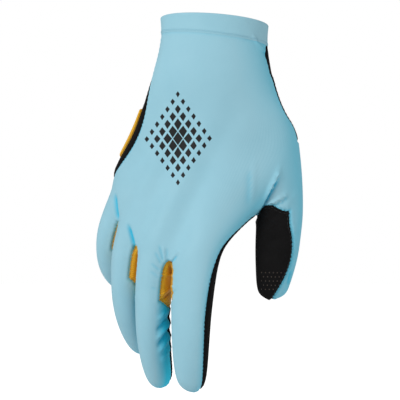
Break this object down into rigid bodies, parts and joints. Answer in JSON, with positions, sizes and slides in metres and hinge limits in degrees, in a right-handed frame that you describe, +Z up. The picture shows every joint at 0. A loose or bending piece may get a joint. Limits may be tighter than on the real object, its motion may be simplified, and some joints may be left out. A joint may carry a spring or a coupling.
{
  "type": "motocross glove",
  "caption": "Lightweight slip-on motocross glove for the right hand, in its worn shape: stretch-knit back, suede palm, mesh gussets between the fingers.",
  "frame": {"origin": "middle of the cuff's mouth, where the wrist goes in", "axes": "+Z up along the forearm, out of the cuff's mouth, with the fingers down; -Y is the way the back of the hand faces; +X is the thumb's side"},
  "size_m": [0.1249, 0.1137, 0.2238],
  "materials": {
    "blue_knit": "light blue stretch knit, matt with a soft sheen",
    "black_suede": "black synthetic suede, matt",
    "yellow_mesh": "yellow knitted mesh, matt"
  },
  "bodies": {
    "root": {"back_panel": "blue_knit", "cuff_hem": "blue_knit", "palm_panel": "black_suede", "thumb_palm": "black_suede", "gusset_index_middle": "yellow_mesh", "gusset_middle_ring": "yellow_mesh", "gusset_ring_little": "yellow_mesh", "side_patch": "yellow_mesh"}
  },
  "joints": []
}
